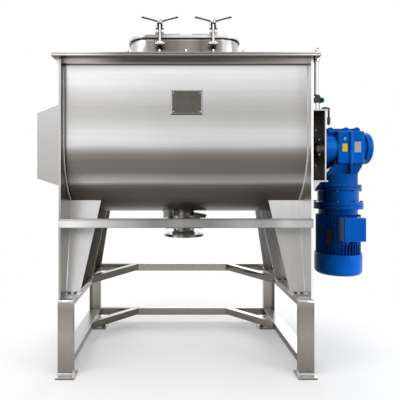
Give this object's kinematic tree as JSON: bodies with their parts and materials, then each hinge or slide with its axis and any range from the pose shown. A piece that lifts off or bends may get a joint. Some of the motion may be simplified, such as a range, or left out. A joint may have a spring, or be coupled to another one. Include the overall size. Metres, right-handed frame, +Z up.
{
  "type": "ribbon blender",
  "caption": "Horizontal U-trough ribbon mixer on a folded steel stand, with a double-helix rotor, geared motor drive, clamped charging hatch and flanged outlet valve.",
  "frame": {"origin": "on the floor under the middle of the whole machine's box", "axes": "+X along the rotor towards the drive, +Y from the front to the rear, +Z up"},
  "size_m": [2.037, 0.994, 1.969],
  "materials": {
    "stainless": "brushed, satin",
    "machined_steel": "turned",
    "bright_steel": "polished",
    "seal_rubber": "white silicone",
    "packing": "matte",
    "cast_housing": "painted casting",
    "bearing_steel": "ground",
    "dark_fitting": "matte",
    "blue_paint": "gloss enamel over castings",
    "electrical_steel": "laminated",
    "fan_plastic": "moulded",
    "label_plate": "printed, blank",
    "dark_plate": "etched, blank"
  },
  "bodies": {
    "machine": {"trough_shell": "stainless", "end_plate_left": "stainless", "end_plate_right": "stainless", "rim_flange": "stainless", "cover_gasket": "seal_rubber", "top_cover": "stainless", "deck_fittings": "bright_steel", "front_legs": "stainless", "rear_legs": "stainless", "side_rails": "stainless", "rear_bars": "stainless", "corner_braces": "stainless", "foot_plates": "stainless", "cross_beam": "stainless", "pedestals": "stainless", "outlet_stub": "machined_steel", "valve_body": "machined_steel", "outlet_spool": "machined_steel", "hatch_neck": "stainless", "hatch_lugs": "stainless", "hatch_pins": "bright_steel", "seal_housings": "machined_steel", "shaft_packings": "packing", "tail_bearing_housing": "cast_housing", "tail_bearing": "bearing_steel", "tail_guard": "stainless", "bracket_plates": "stainless", "bracket_face": "stainless", "air_manifold": "dark_fitting", "air_pipes": "bright_steel", "gear_housing": "blue_paint", "gear_end_cover": "blue_paint", "drive_bearings": "bearing_steel", "motor_adapter": "blue_paint", "motor_frame": "blue_paint", "stator_core": "electrical_steel", "fan_cowl": "blue_paint", "terminal_box": "blue_paint", "terminal_lid": "blue_paint", "blank_labels": "label_plate", "nameplate": "dark_plate", "nameplate_frame": "stainless", "fasteners": "bright_steel"},
    "ribbon_rotor": {"main_shaft": "machined_steel", "outer_ribbons": "stainless", "inner_ribbons": "stainless", "spokes": "stainless", "output_gear": "bearing_steel"},
    "motor_rotor_body": {"motor_rotor": "electrical_steel", "motor_fan": "fan_plastic"},
    "hatch_lid_body": {"hatch_lid": "stainless", "hatch_gasket": "seal_rubber", "lid_brackets": "stainless", "lid_handles": "bright_steel"},
    "swing_left": {"swing_bolt_left": "bright_steel"},
    "swing_right": {"swing_bolt_right": "bright_steel"},
    "wing_left": {"wing_nut_left": "bright_steel"},
    "wing_right": {"wing_nut_right": "bright_steel"},
    "valve": {"valve_disc": "machined_steel", "valve_lever": "bright_steel"}
  },
  "joints": [
    {"name": "ribbon_spin", "type": "hinge", "parent": "machine", "child": "ribbon_rotor", "pos_m": [-0.1495, 0, 1.24], "axis": [1, 0, 0], "continuous": true},
    {"name": "motor_spin", "type": "hinge", "parent": "machine", "child": "motor_rotor_body", "pos_m": [0.8305, 0, 0.7], "axis": [0, 0, 1], "continuous": true},
    {"name": "lid_open", "type": "hinge", "parent": "machine", "child": "hatch_lid_body", "pos_m": [-0.1495, 0.297, 1.872], "axis": [-1, 0, 0], "range_deg": [0, 100]},
    {"name": "swing_bolt_left_swing", "type": "hinge", "parent": "machine", "child": "swing_left", "pos_m": [-0.2925, -0.29, 1.809], "axis": [1, 0, 0], "range_deg": [0, 85]},
    {"name": "wing_nut_left_turn", "type": "hinge", "parent": "swing_left", "child": "wing_left", "pos_m": [-0.2925, -0.29, 1.9], "axis": [0, 0, 1], "range_deg": [0, 720]},
    {"name": "swing_bolt_right_swing", "type": "hinge", "parent": "machine", "child": "swing_right", "pos_m": [0.0095, -0.29, 1.809], "axis": [1, 0, 0], "range_deg": [0, 85]},
    {"name": "wing_nut_right_turn", "type": "hinge", "parent": "swing_right", "child": "wing_right", "pos_m": [0.0095, -0.29, 1.9], "axis": [0, 0, 1], "range_deg": [0, 720]},
    {"name": "valve_turn", "type": "hinge", "parent": "machine", "child": "valve", "pos_m": [-0.1495, 0, 0.782], "axis": [0, 1, 0], "range_deg": [0, 90]}
  ],
  "couplings": [
    {"joint": "motor_spin", "follows": "ribbon_spin", "ratio": 30}
  ]
}
